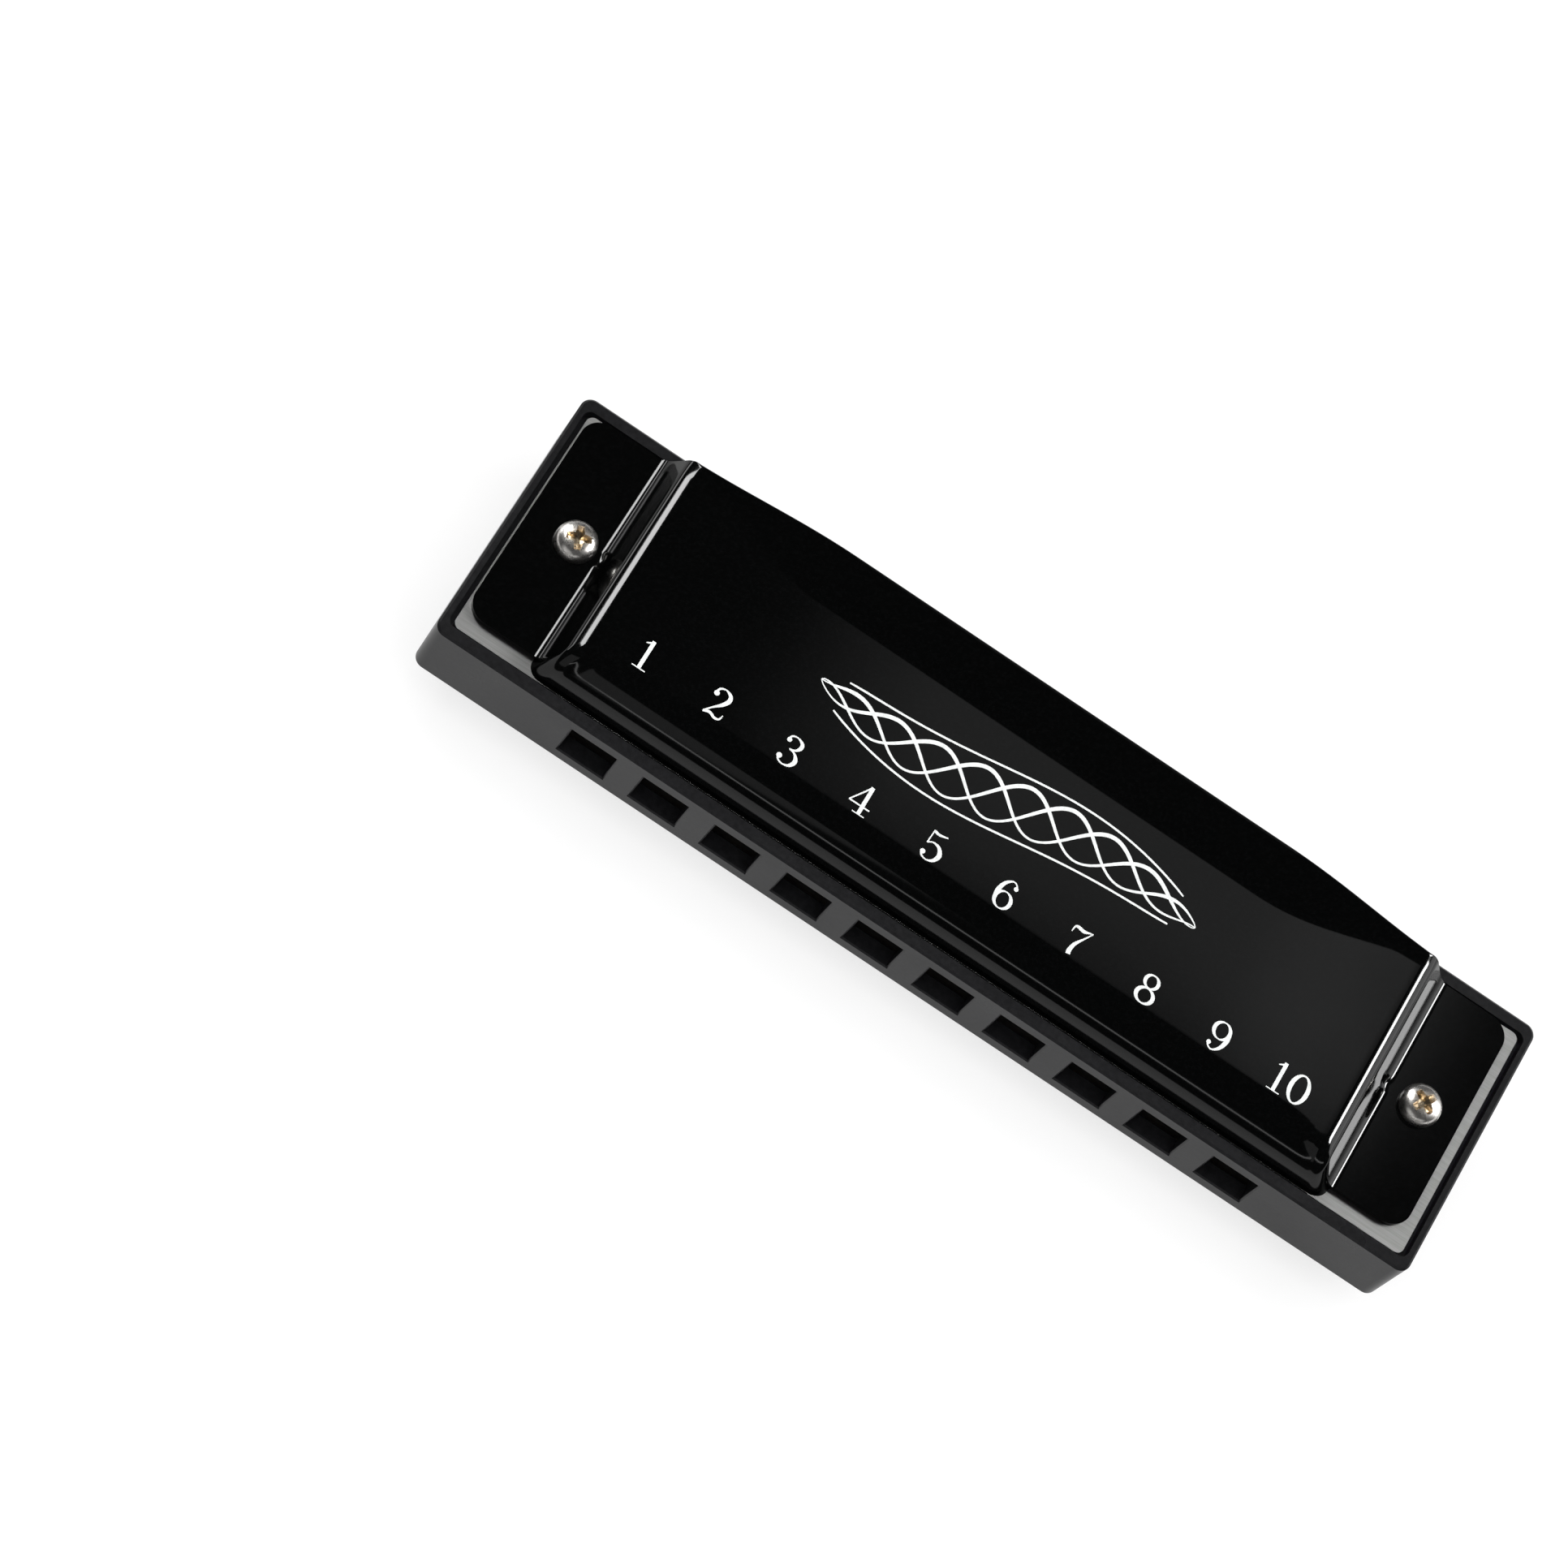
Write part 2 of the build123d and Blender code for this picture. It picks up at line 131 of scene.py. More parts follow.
def gloss_paint():
    """Black gloss paint: slight orange peel, faint haze patches and dust."""
    mat, tree, shader = new_material("cover_gloss_black")
    shader.inputs["IOR"].default_value = 1.34
    haze = noise(tree, scale=0.06, detail=4)
    tree.links.new(ramp(tree, haze, 0.06, 0.10), shader.inputs["Roughness"])
    dust = noise(tree, scale=3.0, detail=2, rough=0.7)
    clean, dusty = (0.0006, 0.0007, 0.0007, 1), (0.0018, 0.0019, 0.002, 1)
    tone = ramp(tree, dust, clean, dusty, low_at=0.45, high_at=0.8)
    tree.links.new(tone, shader.inputs["Base Color"])
    orange_peel = noise(tree, scale=0.35, detail=2)
    bump(tree, shader, orange_peel, depth=0.004, strength=0.25)
    return mat


def satin_plastic():
    """Black moulded plastic: fine grain and a little flow mottling."""
    mat, tree, shader = new_material("comb_satin_black")
    shader.inputs["IOR"].default_value = 1.25
    mottle = noise(tree, scale=0.12, detail=4)
    tree.links.new(ramp(tree, mottle, 0.26, 0.36), shader.inputs["Roughness"])
    grain = noise(tree, scale=2.2, detail=4, rough=0.65)
    tone = ramp(tree, grain, (0.005, 0.005, 0.0055, 1), (0.010, 0.010, 0.011, 1))
    tree.links.new(tone, shader.inputs["Base Color"])
    bump(tree, shader, grain, depth=0.012, strength=0.35)
    return mat


def brushed_metal(name, dark, light, low_rough, high_rough, stretch):
    """Metal with fine brushing along one axis and cloudier patches across it."""
    mat, tree, shader = new_material(name)
    shader.inputs["Metallic"].default_value = 1.0
    lines = noise(tree, scale=1.0, detail=5, stretch=stretch, rough=0.7)
    cloud = noise(tree, scale=0.15, detail=3)
    blend = tree.nodes.new("ShaderNodeMix")
    blend.data_type = "FLOAT"
    blend.inputs["Factor"].default_value = CLOUD_SHARE
    tree.links.new(lines, blend.inputs[NUMBER_A])
    tree.links.new(cloud, blend.inputs[NUMBER_B])
    both = blend.outputs[NUMBER_OUT]
    tree.links.new(ramp(tree, both, dark, light), shader.inputs["Base Color"])
    tree.links.new(ramp(tree, both, high_rough, low_rough), shader.inputs["Roughness"])
    bump(tree, shader, lines, depth=0.004, strength=0.4)
    return mat


PAINT = gloss_paint()
PLASTIC = satin_plastic()
PLATE = brushed_metal(
    "plate_satin_metal", dark=(0.22, 0.22, 0.215, 1), light=(0.34, 0.34, 0.335, 1),
    low_rough=0.42, high_rough=0.52, stretch=(0.15, 6, 6),
)
BRASS = brushed_metal(
    "reed_brass", dark=(0.58, 0.40, 0.17, 1), light=(0.80, 0.60, 0.30, 1),
    low_rough=0.22, high_rough=0.36, stretch=(7, 0.3, 7),
)
STEEL = brushed_metal(
    "screw_steel", dark=(0.45, 0.45, 0.46, 1), light=(0.66, 0.66, 0.67, 1),
    low_rough=0.24, high_rough=0.38, stretch=(2, 2, 2),
)
NICKEL = brushed_metal(
    "bolt_nickel", dark=(0.60, 0.58, 0.55, 1), light=(0.80, 0.78, 0.75, 1),
    low_rough=0.12, high_rough=0.24, stretch=(3, 3, 3),
)

FINISHES = {
    "comb": PLASTIC,
    "top_cover": PAINT,
    "bottom_cover": PAINT,
    "blow_reed_plate": PLATE,
    "draw_reed_plate": PLATE,
    "blow_rivets": BRASS,
    "draw_rivets": BRASS,
    "blow_reed_roots": BRASS,
    "draw_reed_roots": BRASS,
    "upper_plate_screws": STEEL,
    "lower_plate_screws": STEEL,
    "cover_bolts": NICKEL,
    "cover_nuts": NICKEL,
}
for name, node in nodes.items():
    node.data.materials.clear()
    node.data.materials.append(FINISHES.get(name, BRASS))   # every other node is a reed


# ---------------------------------------------------------------- pressed covers

PLATE_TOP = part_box("top_cover")[0].z / MM
MID_Z = (cad_low.z + cad_high.z) / 2 / MM
COVER_X = middle_x("top_cover")
SHEET = 0.6                 # thickness of the pressed metal
FLANGE_END = 49.2
FLANGE_FRONT = -10.6
FLANGE_BACK = 12.1
FLANGE_CORNER = 2.0
BODY_END = 41.8             # foot of the end walls
END_RUN = 2.2
BODY_FRONT = -12.1          # foot of the front wall
FRONT_RUN = 1.5
BODY_BACK = 12.2
RISE = 4.0                  # level top above the reed plate
CROWN = 2.1                 # extra height of the back edge in the middle
CROWN_SLOPE = 0.525         # the crown is a flap bent up towards the back
CROWN_LEAST = 0.9           # depth of the flap where it runs out
CROWN_SOFT = 1.0            # width of the bend at the foot of the flap
CROWN_HALF = 23.0           # the crown has its full height up to here on each side
WALL_CORNER = 1.2           # upright corners between front wall and end walls
FRONT_BEND = 2.6            # the front rolls over into the level top
END_BEND = 0.85             # the end walls turn more tightly
BEND_RUN = 3.0              # distance over which one of these bends becomes the other
BASE_BEND = 1.15            # fillet between the walls and the flange
CROWN_BACK = 11.8           # where the rolled back edge takes over from the crown
HEM_BEND = 0.30             # rolled back edge
HEM_DROP = 1.25
HEM_END = 39.5
HEM_FADE = 0.8              # length over which the roll runs out at each end
HEM_LEAST = 0.05            # share of the roll below which there is none
BOLT_X = 44.75
BOLT_Y = 0.6
BOLT_HOLE = 1.5
DENT_DEPTH = 0.25           # press mark in each end wall beside the bolt
DENT_HALF = 0.9
DENT_HEIGHT = 1.1

SKIN_RANGE = (-1.0, 8.0)    # heights between which the skin is looked for
HALVINGS = 40
HOLE_BLOCK = 2.4            # half of the square of sheet remade round each bolt hole
HOLE_RINGS = (0.4, 0.75, 1.0)   # loops from that square in to the hole
TOP_END = BODY_END - END_RUN    # where an end wall reaches the level top
FOOT_ZONE = 1.6             # stretch where the stations close in on the foot of an end wall
FOOT_STEPS = 20
CORNER_STEPS = 15
LEAD_ROWS = 23              # rows ahead of the flange's front edge
FRONT_ZONE = -5             # rows ahead of this bend with the front edge
BACK_ZONE = 8               # rows behind this bend with the back edge
TURN_STEPS = 8              # rows round the rolled edge
# Round of the lip below the rolled edge: rise above its lowest point, share of the way inside.
LIP = ((0.35, 0), (0.12, 0), (0.03, 0.06), (0, 0.2), (0, 0.5), (0, 0.8), (0.03, 0.94), (0.12, 1))
LIP_INSIDE = 0.3            # height where the lip's round ends on its inner side
WELD = 0.002                # points nearer than this become one
MARGIN = 0.1                # allowance when an edge is looked for
SAME_LEVEL = 0.01           # points this near in height are on the same face of the sheet
COVER_SHARP = 38            # degrees from which an edge is shaded sharp
# Stations along X from the middle to a bolt hole's block, as (start, stop, pitch).
ALONG_RUNS = (
    (0, CROWN_HALF, 1.5),
    (CROWN_HALF, TOP_END - 1.0, 0.6),
    (TOP_END - 1.0, TOP_END + 0.6, 0.08),
    (BODY_END + 0.04, BOLT_X - HOLE_BLOCK, 0.12),
    (BOLT_X - HOLE_BLOCK, BOLT_X + HOLE_BLOCK, 0.3),
)
# Stations along Y from the flange's front edge to the back, as (start, stop, pitch).
ACROSS_RUNS = (
    (FLANGE_FRONT, FLANGE_FRONT + 2.8, 0.1),
    (FLANGE_FRONT + 3.0, FRONT_ZONE, 0.4),
    (FRONT_ZONE, BOLT_Y - HOLE_BLOCK, 0.6),
    (BOLT_Y - HOLE_BLOCK, BOLT_Y + HOLE_BLOCK, 0.2),
    (BOLT_Y + HOLE_BLOCK, 7, 0.4),
    (7, BODY_BACK, 0.16),
)


def ease(t):
    """Smooth step from 0 to 1."""
    t = np.clip(t, 0, 1)
    return t * t * (3 - 2 * t)


def round_meet(a, b, r):
    """Distance to the solid two faces bound, with their shared edge rounded."""
    return np.minimum(-r, np.maximum(a, b)) + np.hypot(np.maximum(r + a, 0), np.maximum(r + b, 0))


def crown(x):
    """Lift of the back edge at one station."""
    past = np.clip((np.abs(x) - CROWN_HALF) / (BODY_END - CROWN_HALF), 0, 1)
    return CROWN * (1 + np.cos(np.pi * past)) / 2


def flap(x, y):
    """Lift and slope of the crown's flap, level in front of its fold line."""
    depth = np.maximum(CROWN_LEAST, crown(x) / CROWN_SLOPE)
    slope = crown(x) / depth
    past = np.clip(y - (CROWN_BACK - depth), -CROWN_SOFT / 2, None)
    soft = np.minimum(past, CROWN_SOFT / 2) + CROWN_SOFT / 2
    lift = slope * (soft**2 / 2 / CROWN_SOFT + np.maximum(past - CROWN_SOFT / 2, 0))
    return lift, slope * soft / CROWN_SOFT


def body_distance(x, y, z):
    """Signed distance to the raised body's outer skin; z is above the reed plate."""
    dent = DENT_DEPTH * np.clip(1 - ((y - BOLT_Y) / DENT_HALF) ** 2, 0, 1) ** 2
    dent = dent * (1 - ease((z - SHEET) / DENT_HEIGHT))
    end = (np.abs(x) + dent - BODY_END + END_RUN / RISE * z) * RISE / math.hypot(RISE, END_RUN)
    front = (BODY_FRONT + FRONT_RUN / RISE * z - y) * RISE / math.hypot(RISE, FRONT_RUN)
    lift, slope = flap(x, y)
    top = (z - RISE - lift) / np.hypot(1, slope)
    bend = END_BEND + (FRONT_BEND - END_BEND) * ease((front - end) / BEND_RUN + 0.5)
    return round_meet(round_meet(end, front, WALL_CORNER), top, bend)


def skin_height(x, y, inset):
    """Height of the body's skin, or of the surface a given depth inside it."""
    low, high = (np.full(x.shape, height) for height in SKIN_RANGE)
    for _ in range(HALVINGS):
        middle = (low + high) / 2
        inside = body_distance(x, y, middle) < -inset
        low = np.where(inside, middle, low)
        high = np.where(inside, high, middle)
    return (low + high) / 2


def front_outline(x):
    """Front edge of the body and of the flange at each station, and the corners' cut."""
    low = np.full(x.shape, BODY_FRONT - MARGIN)
    high = np.full(x.shape, FLANGE_FRONT)
    for _ in range(HALVINGS):
        middle = (low + high) / 2
        outside = body_distance(x, middle, np.zeros(x.shape)) > 0
        low = np.where(outside, middle, low)
        high = np.where(outside, high, middle)
    body = (low + high) / 2
    past = np.clip(np.abs(x) - (FLANGE_END - FLANGE_CORNER), 0, FLANGE_CORNER)
    corner = FLANGE_CORNER - np.sqrt(FLANGE_CORNER**2 - past**2)
    return body, FLANGE_FRONT + corner, corner


def steps(start, stop, pitch):
    """Evenly spaced stations, about a pitch apart, with both ends."""
    return np.linspace(start, stop, max(2, round((stop - start) / pitch) + 1))


def closing(stop, reach, count):
    """Stations that close in on a stop from a given distance."""
    return stop - reach + reach * np.sin(np.linspace(0, math.pi / 2, count))


def sheet_stations():
    """Stations along X and Y, close together where the sheet bends."""
    half = np.concatenate([
        *(steps(*run) for run in ALONG_RUNS),
        closing(BODY_END, FOOT_ZONE, FOOT_STEPS),
        closing(FLANGE_END, FLANGE_CORNER, CORNER_STEPS),
    ])
    half = np.unique(np.round(half, 3))
    along = np.concatenate([-half[:0:-1], half])
    across = np.concatenate([steps(*run) for run in ACROSS_RUNS])
    return along, np.unique(np.round(across, 3))


def cover_grid(inner):
    """Rows and columns of points over one face of the sheet."""
    along, across = sheet_stations()
    body_front, flange_front, corner = front_outline(along)
    in_body = np.abs(along) < BODY_END
    front = np.where(in_body, body_front, flange_front)
    joint = np.where(in_body, FLANGE_FRONT, flange_front)
    hem = ease((HEM_END - np.abs(along)) / HEM_FADE)
    hem = np.where(hem < HEM_LEAST, 0, hem)
    slope = np.arctan(flap(along, CROWN_BACK)[1])
    edge = np.where(in_body, BODY_BACK, FLANGE_BACK - corner)
    edge = edge - hem * (SHEET if inner else HEM_BEND * (1 + np.sin(slope)))
    rows = [front + (joint - front) * t for t in np.linspace(0, 1, LEAD_ROWS + 1)[:-1]]
    for y in across:
        ahead = np.clip((FRONT_ZONE - y) / (FRONT_ZONE - FLANGE_FRONT), 0, 1)
        behind = np.clip((y - BACK_ZONE) / (BODY_BACK - BACK_ZONE), 0, 1)
        rows.append(y + ahead * (joint - FLANGE_FRONT) + behind * (edge - BODY_BACK))
    y = np.array(rows).T
    x = np.repeat(along[:, None], y.shape[1], axis=1)
    z = skin_height(x, y, SHEET if inner else 0)
    if inner:
        z = np.maximum(z, 0)
    else:
        gap = np.clip(BASE_BEND - np.abs(z - SHEET), 0, None) / BASE_BEND
        on_flange = np.maximum(z, SHEET) + gap**2 * BASE_BEND / 4
        z = np.where(y >= FLANGE_FRONT - 1e-6, on_flange, np.maximum(z, 0))
    return x, y, z, hem, slope


def hem_rows(y, z, top, hem, slope):
    """Rows that carry the sheet over its rolled back edge and up inside the lip.

    The roll starts at y, z on the outer face and the lip ends at height top on the inner face.
    """
    reach = HEM_BEND * hem
    rows = []
    for part in np.linspace(0, 1, TURN_STEPS + 1)[1:]:
        angle = part * (math.pi / 2 + slope) - slope
        turned_y = y + reach * (np.sin(slope) + np.sin(angle))
        rows.append((turned_y, z - reach * (np.cos(slope) - np.cos(angle))))
    low = z - HEM_DROP * hem
    outside = y + reach * (1 + np.sin(slope))
    inside = outside - SHEET * hem
    for lift, share in LIP:
        rows.append((outside + (inside - outside) * share, low + lift * hem))
    start = low + LIP_INSIDE * hem
    for part in (0, 0.5):
        rows.append((inside, start + (top - start) * part))
    flat = hem == 0
    return [(np.where(flat, y, row_y), np.where(flat, z, row_z)) for row_y, row_z in rows]


def build_cover(name, node, flip):
    """One cover as a single closed sheet, smooth over every bend."""
    outer_x, outer_y, outer_z, hem, slope = cover_grid(False)
    _, inner_y, inner_z, _, _ = cover_grid(True)
    loops = list(zip(outer_y.T, outer_z.T))
    loops += hem_rows(outer_y[:, -1], outer_z[:, -1], inner_z[:, -1], hem, slope)
    loops += reversed(list(zip(inner_y.T, inner_z.T)))
    along = outer_x[:, 0]
    mesh = bmesh.new()
    grid = []
    for ys, zs in loops:
        height = 2 * MID_Z - PLATE_TOP - zs if flip else PLATE_TOP + zs
        spots = zip(along + COVER_X, ys, height)
        grid.append([mesh.verts.new((x * MM, y * MM, z * MM)) for x, y, z in spots])
    rows = len(grid)

    def in_block(i, j):
        """Whether a face belongs to the square left open round a bolt hole."""
        x = (along[i] + along[i + 1]) / 2
        y = (loops[j][0][i] + loops[j + 1][0][i + 1]) / 2
        return abs(abs(x) - BOLT_X) < HOLE_BLOCK and abs(y - BOLT_Y) < HOLE_BLOCK

    for j in range(rows):
        after = (j + 1) % rows
        for i in range(len(along) - 1):
            if after and in_block(i, j):
                continue
            mesh.faces.new((grid[j][i], grid[after][i], grid[after][i + 1], grid[j][i + 1]))
    for end in (0, -1):
        for j in range(rows // 2):
            other = rows - 1 - j
            if other - j > 1:
                corners = grid[j][end], grid[j + 1][end], grid[other - 1][end], grid[other][end]
                mesh.faces.new(list(dict.fromkeys(corners)))
    pierce(mesh, flip)
    bmesh.ops.delete(mesh, geom=[v for v in mesh.verts if not v.link_faces], context="VERTS")
    bmesh.ops.remove_doubles(mesh, verts=mesh.verts, dist=WELD * MM)
    bmesh.ops.recalc_face_normals(mesh, faces=mesh.faces)
    finish_mesh(mesh, name, PAINT, COVER_SHARP, node)


def join_loops(mesh, first, second):
    """Faces between two closed loops of as many points."""
    for k in range(len(first)):
        n = (k + 1) % len(first)
        mesh.faces.new((first[k], first[n], second[n], second[k]))


def pierce(mesh, flip):
    """Closes the square gaps round the bolt holes with loops of sheet and the holes' walls."""
    for side in (-1, 1):
        middle = Vector((side * BOLT_X + COVER_X, BOLT_Y)) * MM
        circles = []
        for level in (PLATE_TOP + SHEET, PLATE_TOP):
            z = (2 * MID_Z - level if flip else level) * MM
            rim = [
                v for v in mesh.verts
                if v.is_boundary and abs(v.co.z - z) < SAME_LEVEL * MM
                and max(abs(v.co.x - middle.x), abs(v.co.y - middle.y)) < (HOLE_BLOCK + MARGIN) * MM
            ]
            rim.sort(key=lambda v: math.atan2(v.co.y - middle.y, v.co.x - middle.x))
            loops = [rim]
            for share in HOLE_RINGS:
                loop = []
                for v in rim:
                    out = Vector((v.co.x, v.co.y)) - middle
                    spot = middle + out * (1 - share) + out.normalized() * BOLT_HOLE * MM * share
                    loop.append(mesh.verts.new((spot.x, spot.y, z)))
                loops.append(loop)
            for wide, tight in zip(loops, loops[1:]):
                join_loops(mesh, wide, tight)
            circles.append(loops[-1])
        join_loops(mesh, *circles)


def finish_mesh(mesh, name, material, sharp, node=None):
    """Turns a bmesh into a piece of the instrument that rides with it."""
    data = bpy.data.meshes.new(name)
    mesh.to_mesh(data)
    mesh.free()
    data.materials.append(material)
    data.shade_smooth()
    data.set_sharp_from_angle(angle=math.radians(sharp))
    piece = bpy.data.objects.new(name, data)
    bpy.context.scene.collection.objects.link(piece)
    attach(piece, BODY)
    if node:
        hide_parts(node)


build_cover("top_cover_sheet", "top_cover", False)
build_cover("bottom_cover_sheet", "bottom_cover", True)


# ---------------------------------------------------------------- printed marks

LEVEL_TOP = PLATE_TOP + RISE
PRINT_RAISE = 0.03          # the ink stands this proud of the paint
PRINT_SINK = 0.02
PRINT_SHARP = 38
PATH_STEPS = 9              # points for each span of a curved stroke
RING_POINTS = 41
DOT_POINTS = 18
TRIANGLES_ONLY = 0          # what delaunay_2d_cdt is asked for
MERGE_GAP = 1e-4            # print points nearer than this become one


def print_ink():
    """Silver-white screen print: slightly uneven coverage."""
    mat, tree, shader = new_material("print_silver_white")
    shader.inputs["IOR"].default_value = 1.45
    cover = noise(tree, scale=2.5, detail=4, rough=0.7)
    tone = ramp(tree, cover, (0.62, 0.64, 0.63, 1), (0.86, 0.88, 0.87, 1))
    tree.links.new(tone, shader.inputs["Base Color"])
    tree.links.new(ramp(tree, cover, 0.55, 0.38), shader.inputs["Roughness"])
    bump(tree, shader, cover, depth=0.006, strength=0.4)
    return mat


INK = print_ink()


def smooth_path(points):
    """Curve through pen points; each point is (x, y, half-width)."""
    p = [points[0]] + list(points) + [points[-1]]
    path = []
    for k in range(1, len(p) - 2):
        for t in np.linspace(0, 1, PATH_STEPS, endpoint=False):
            a, b, c, d = (np.array(q, float) for q in p[k - 1:k + 3])
            path.append(0.5 * (2 * b + (c - a) * t + (2 * a - 5 * b + 4 * c - d) * t**2
                               + (3 * b - a - 3 * c + d) * t**3))
    path.append(np.array(points[-1], float))
    return np.array(path)


def ring(x, y, across, high, thick, thin):
    """Closed oval stroke, heavy at its sides and fine at top and bottom."""
    turn = np.linspace(0, 2 * math.pi, RING_POINTS)
    width = thin + (thick - thin) * np.abs(np.cos(turn)) ** 1.4
    return np.stack([x + across * np.cos(turn), y + high * np.sin(turn), width], axis=1)


def bar(x0, y0, x1, y1, half):
    """Straight stroke with square ends."""
    return np.array([(x0, y0, half), (x1, y1, half)], float)


def dot(x, y, r):
    """Round terminal."""
    turn = np.linspace(0, 2 * math.pi, DOT_POINTS, endpoint=False)
    return np.stack([x + r * np.cos(turn), y + r * np.sin(turn)], axis=1)


def stroke_quads(path):
    """Quads that follow one stroke at its changing width."""
    way = np.gradient(path[:, :2], axis=0)
    way /= np.maximum(np.hypot(way[:, 0], way[:, 1]), 1e-9)[:, None]
    side = np.stack([-way[:, 1], way[:, 0]], axis=1) * path[:, 2:3]
    left, right = path[:, :2] + side, path[:, :2] - side
    return [(right[k], right[k + 1], left[k + 1], left[k]) for k in range(len(path) - 1)]


def add_print(mesh, shapes, z):
    """Lays overlapping flat shapes down as one thin printed layer."""
    points, faces = [], []
    for shape in shapes:
        start = len(points)
        points += [Vector((float(x), float(y))) for x, y in shape]
        faces.append(list(range(start, len(points))))
    spots, _, triangles, _, _, sources = delaunay_2d_cdt(
        points, [], faces, TRIANGLES_ONLY, MERGE_GAP
    )
    low = [mesh.verts.new((p.x * MM, p.y * MM, (z - PRINT_SINK) * MM)) for p in spots]
    high = [mesh.verts.new((p.x * MM, p.y * MM, (z + PRINT_RAISE) * MM)) for p in spots]
    rim = {}                # edges used by one triangle only
    for tri, source in zip(triangles, sources):
        if not source:
            continue
        mesh.faces.new([high[k] for k in tri])
        mesh.faces.new([low[k] for k in reversed(tri)])
        for a, b in zip(tri, tri[1:] + tri[:1]):
            if (b, a) in rim:
                del rim[(b, a)]
            else:
                rim[(a, b)] = True
    for a, b in rim:
        mesh.faces.new((low[a], low[b], high[b], high[a]))


# Strokes of each figure, one unit high and standing on zero.
FIGURES = {
    "0": [ring(0.36, 0.5, 0.27, 0.465, 0.085, 0.03)],
    "1": [
        bar(0.36, 0.02, 0.36, 0.99, 0.075),
        smooth_path([(0.40, 0.985, 0.015), (0.30, 0.90, 0.035), (0.17, 0.83, 0.018)]),
        bar(0.14, 0.022, 0.58, 0.022, 0.022),
    ],
    "2": [
        smooth_path([(0.13, 0.74, 0.03), (0.20, 0.91, 0.04), (0.37, 0.97, 0.03),
                     (0.56, 0.88, 0.07), (0.60, 0.72, 0.085), (0.50, 0.53, 0.07),
                     (0.30, 0.31, 0.035), (0.13, 0.10, 0.028), (0.09, 0.02, 0.02)]),
        smooth_path([(0.09, 0.05, 0.05), (0.28, 0.11, 0.055), (0.48, 0.04, 0.05),
                     (0.62, 0.08, 0.035), (0.66, 0.24, 0.018)]),
        dot(0.17, 0.74, 0.085),
    ],
    "3": [
        smooth_path([(0.13, 0.78, 0.03), (0.20, 0.93, 0.035), (0.37, 0.97, 0.028),
                     (0.55, 0.88, 0.065), (0.58, 0.74, 0.075), (0.48, 0.59, 0.04),
                     (0.30, 0.54, 0.022)]),
        smooth_path([(0.30, 0.54, 0.022), (0.50, 0.49, 0.04), (0.63, 0.30, 0.085),
                     (0.55, 0.10, 0.06), (0.36, 0.02, 0.028), (0.18, 0.07, 0.035),
                     (0.10, 0.20, 0.03)]),
        dot(0.17, 0.79, 0.075),
        dot(0.15, 0.20, 0.085),
    ],
    "4": [
        smooth_path([(0.47, 0.98, 0.03), (0.28, 0.66, 0.03), (0.05, 0.30, 0.026)]),
        bar(0.03, 0.285, 0.72, 0.285, 0.03),
        bar(0.48, 0.02, 0.48, 0.98, 0.075),
        bar(0.28, 0.022, 0.68, 0.022, 0.022),
    ],
    "5": [
        smooth_path([(0.17, 0.93, 0.055), (0.34, 0.90, 0.05), (0.60, 0.96, 0.025)]),
        smooth_path([(0.155, 0.96, 0.024), (0.145, 0.75, 0.024), (0.13, 0.50, 0.024)]),
        smooth_path([(0.13, 0.51, 0.024), (0.30, 0.60, 0.03), (0.52, 0.54, 0.065),
                     (0.63, 0.33, 0.09), (0.54, 0.11, 0.06), (0.35, 0.02, 0.028),
                     (0.17, 0.07, 0.035), (0.10, 0.18, 0.03)]),
        dot(0.15, 0.19, 0.08),
    ],
    "6": [
        ring(0.37, 0.30, 0.25, 0.275, 0.075, 0.024),
        smooth_path([(0.60, 0.80, 0.03), (0.52, 0.93, 0.03), (0.38, 0.965, 0.03),
                     (0.20, 0.80, 0.065), (0.11, 0.52, 0.085), (0.12, 0.30, 0.08)]),
        dot(0.56, 0.81, 0.07),
    ],
    "7": [
        smooth_path([(0.08, 0.70, 0.018), (0.11, 0.88, 0.035), (0.20, 0.92, 0.06),
                     (0.40, 0.89, 0.065), (0.58, 0.95, 0.03), (0.68, 0.97, 0.02)]),
        smooth_path([(0.67, 0.97, 0.02), (0.50, 0.68, 0.035), (0.34, 0.40, 0.065),
                     (0.29, 0.16, 0.085), (0.31, 0.03, 0.09)]),
    ],
    "8": [
        ring(0.36, 0.75, 0.21, 0.215, 0.07, 0.026),
        ring(0.36, 0.27, 0.265, 0.245, 0.08, 0.028),
    ],
}
NINE_TURN = 0.73            # twice the x about which the six is turned to make the nine
FIGURES["9"] = [
    np.concatenate([NINE_TURN - s[:, :1], 1 - s[:, 1:2], s[:, 2:]], axis=1)
    for s in FIGURES["6"]
]
FIGURE_HEIGHT = 3.05
FIGURE_WIDTH = 0.72         # share of the height
FIGURE_STEP = 0.92          # share of the width from one figure of a pair to the next
NUMBER_Y = -7.7             # foot of the figures
NUMBER_SHIFT = -0.65        # the print sits a little towards hole 1
STROKE = 0.80               # share of the drawn stroke width


def place_figure(figure, x):
    """One figure's strokes as flat shapes, standing at x on the cover."""
    shapes = []
    for part in FIGURES[figure]:
        moved = part * FIGURE_HEIGHT
        moved[:, 2:] *= STROKE
        moved[:, 0] += x
        moved[:, 1] += NUMBER_Y
        shapes += [moved] if part.shape[1] == 2 else stroke_quads(moved)
    return shapes


